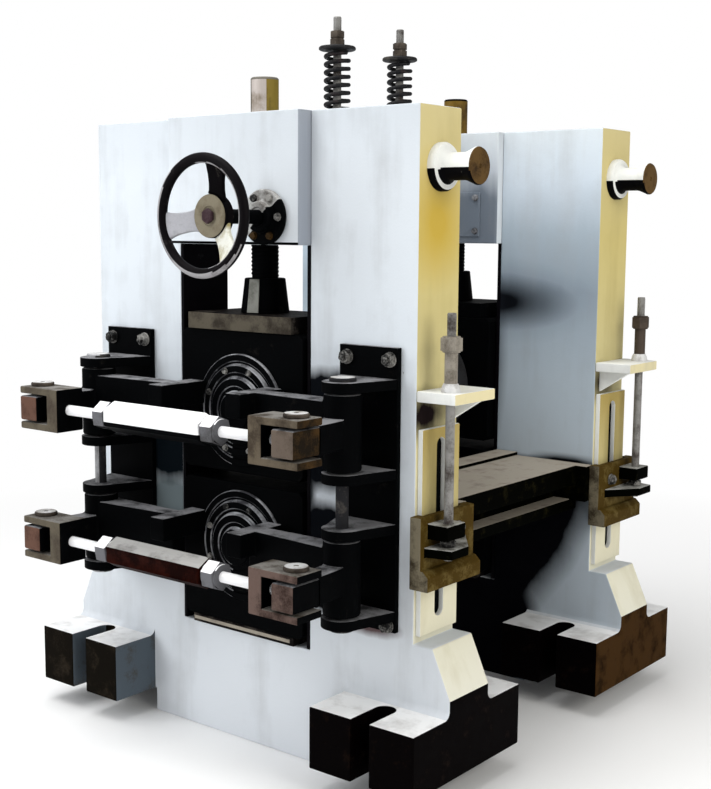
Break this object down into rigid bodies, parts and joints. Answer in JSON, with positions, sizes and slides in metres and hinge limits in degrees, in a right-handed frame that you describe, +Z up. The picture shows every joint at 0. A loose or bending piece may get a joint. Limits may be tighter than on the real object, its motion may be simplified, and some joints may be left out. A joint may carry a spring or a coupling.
{
  "type": "rolling mill stand",
  "caption": "Two-high rolling mill stand with cast housings, screw-down caps with handwheels, sprung roll balance, lever gear for the chocks and a height-set rest bar.",
  "frame": {"origin": "on the floor, midway between the two housings and on the rolls' centre plane", "axes": "+X along the pass line, +Y along the roll axes towards the drive side, +Z up"},
  "size_m": [1.28, 1.69, 1.879],
  "materials": {
    "housing_paint": "light grey enamel on cast iron, satin",
    "gear_paint": "light enamel on steel, satin",
    "black_iron": "black oily paint, satin",
    "oily_steel": "bare steel, oily brown-grey",
    "bright_steel": "bright machined steel",
    "rod_steel": "threaded steel, greased",
    "roll_steel": "turned roll steel",
    "spring_steel": "black oiled spring steel",
    "wheel_iron": "dark worn iron",
    "bar_steel": "planed steel, brown-grey",
    "liner_steel": "dark greased steel"
  },
  "bodies": {
    "stand": {"near_housing": "housing_paint", "far_housing": "housing_paint", "caps": "housing_paint", "far_handwheel": "wheel_iron", "wheel_flanges": "black_iron", "bottom_chocks": "black_iron", "chock_seats": "oily_steel", "window_liners": "liner_steel", "bottom_covers": "black_iron", "cap_tie": "housing_paint", "hanger_springs": "spring_steel", "spring_seats": "oily_steel", "lever_brackets": "black_iron", "lever_pins": "bright_steel", "top_levers": "black_iron", "bottom_levers": "black_iron", "top_forks": "oily_steel", "bottom_forks": "oily_steel", "top_turnbuckle": "bright_steel", "bottom_turnbuckle": "oily_steel", "fork_pins": "oily_steel", "turnbuckle_rods": "bright_steel", "turnbuckle_nuts": "bright_steel", "slide_plates": "gear_paint", "height_shelves": "gear_paint", "height_rod_sleeves": "rod_steel", "height_rod_nuts": "rod_steel", "lifting_trunnions": "gear_paint"},
    "top_roll_set": {"top_chocks": "black_iron", "top_covers": "black_iron", "pressure_plates": "oily_steel", "screw_cups": "black_iron", "screws": "rod_steel", "balance_beam": "black_iron", "hanger_rods": "rod_steel", "hanger_plates": "oily_steel", "hanger_nuts": "oily_steel"},
    "top_roll": {"top_roll": "roll_steel"},
    "bottom_roll": {"bottom_roll": "roll_steel"},
    "near_handwheel": {"near_handwheel": "wheel_iron"},
    "right_rest_bar": {"right_height_rods": "rod_steel", "right_sliders": "black_iron", "right_rest_bar": "bar_steel"}
  },
  "joints": [
    {"name": "screw_down", "type": "slide", "parent": "stand", "child": "top_roll_set", "axis": [0, 0, 1], "range_m": [-0.008, 0.06], "deforming": ["hanger_springs"]},
    {"name": "top_roll_spin", "type": "hinge", "parent": "top_roll_set", "child": "top_roll", "pos_m": [0, 0, 0.87], "axis": [0, 1, 0], "continuous": true},
    {"name": "bottom_roll_spin", "type": "hinge", "parent": "stand", "child": "bottom_roll", "pos_m": [0, 0, 0.522], "axis": [0, 1, 0], "continuous": true},
    {"name": "near_handwheel_turn", "type": "hinge", "parent": "stand", "child": "near_handwheel", "pos_m": [0.117, -0.765, 1.35115], "axis": [0, 1, 0], "continuous": true},
    {"name": "right_rest_bar_height", "type": "slide", "parent": "stand", "child": "right_rest_bar", "axis": [0, 0, 1], "range_m": [-0.05, 0.15]}
  ]
}
